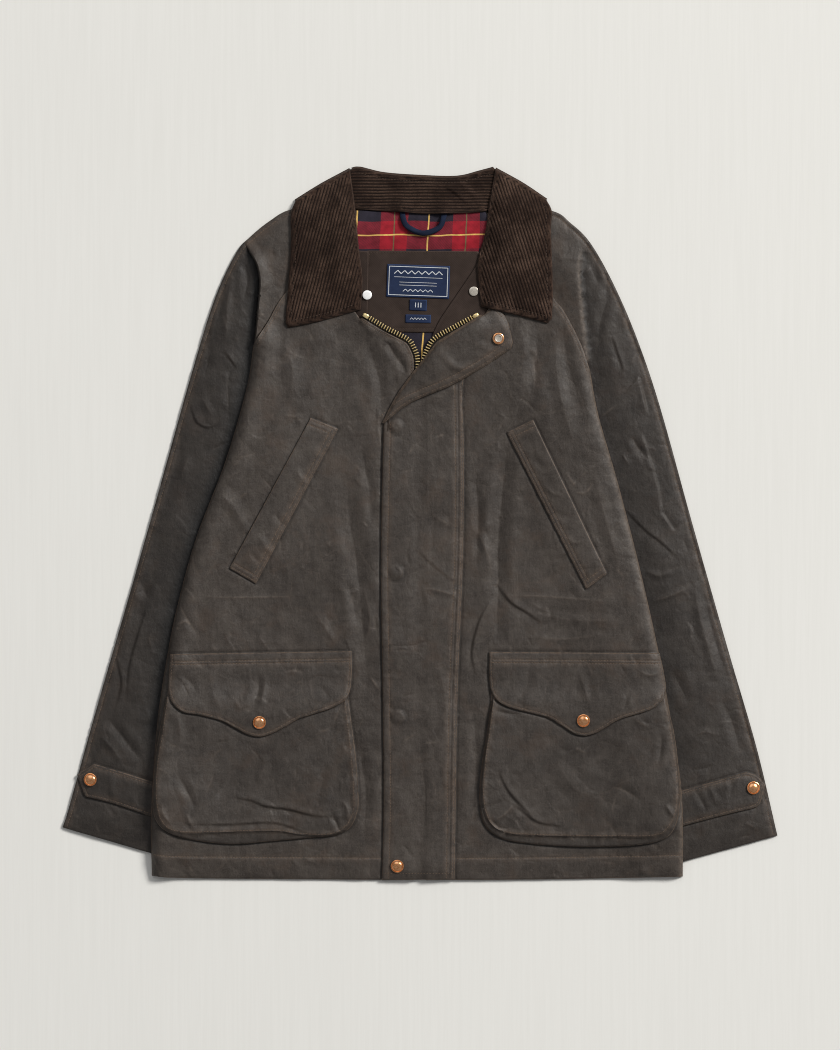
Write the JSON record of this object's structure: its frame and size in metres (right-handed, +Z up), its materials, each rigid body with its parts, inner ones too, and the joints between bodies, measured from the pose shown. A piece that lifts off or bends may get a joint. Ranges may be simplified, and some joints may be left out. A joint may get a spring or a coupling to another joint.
{
  "type": "waxed cotton jacket",
  "caption": "Thigh-length waxed cotton field jacket with a corduroy collar, raglan sleeves, storm flap, chest welts and bellows pockets, laid flat on its back.",
  "frame": {"origin": "centre of the bounding box's bottom face, on the surface that the jacket lies on", "axes": "+X to the wearer's left, +Y from the hem to the collar, +Z up, out of the jacket's front"},
  "size_m": [0.786, 0.7846, 0.0258],
  "materials": {
    "waxed_cotton": "dark brown-olive waxed cotton with a dull wax sheen, paler along worn edges",
    "corduroy": "dark brown cotton corduroy",
    "tartan_lining": "cotton tartan in dark red, maroon and navy with fine yellow and green lines",
    "brown_twill": "matt dark brown cotton twill",
    "navy_woven": "navy woven tape with plain white lines and no lettering",
    "zip_tape": "dark brown woven zip tape",
    "brass": "worn bright brass",
    "copper": "polished copper",
    "nickel": "nickel plate"
  },
  "bodies": {
    "root": {"back": "waxed_cotton", "front_left": "waxed_cotton", "front_right": "waxed_cotton", "sleeve_left_back": "waxed_cotton", "sleeve_left_front": "waxed_cotton", "sleeve_right_back": "waxed_cotton", "sleeve_right_front": "waxed_cotton", "storm_flap": "waxed_cotton", "welt_left": "waxed_cotton", "welt_right": "waxed_cotton", "pocket_left": "waxed_cotton", "pocket_right": "waxed_cotton", "pocket_flap_left": "waxed_cotton", "pocket_flap_right": "waxed_cotton", "cuff_tab_left": "waxed_cotton", "cuff_tab_right": "waxed_cotton", "collar": "corduroy", "lining_back": "tartan_lining", "neck_patch": "brown_twill", "facing_left": "brown_twill", "facing_right": "brown_twill", "label_main": "navy_woven", "label_size": "navy_woven", "label_care": "navy_woven", "hanger_loop": "navy_woven", "zip_tape_left": "zip_tape", "zip_tape_right": "zip_tape", "zip_slider": "brass", "snap_pocket_left": "copper", "snap_pocket_right": "copper", "snap_cuff_left": "copper", "snap_cuff_right": "copper", "snap_hem": "copper", "snap_collar_corner": "copper", "snap_neck_left": "nickel", "snap_neck_right": "nickel"}
  },
  "joints": []
}
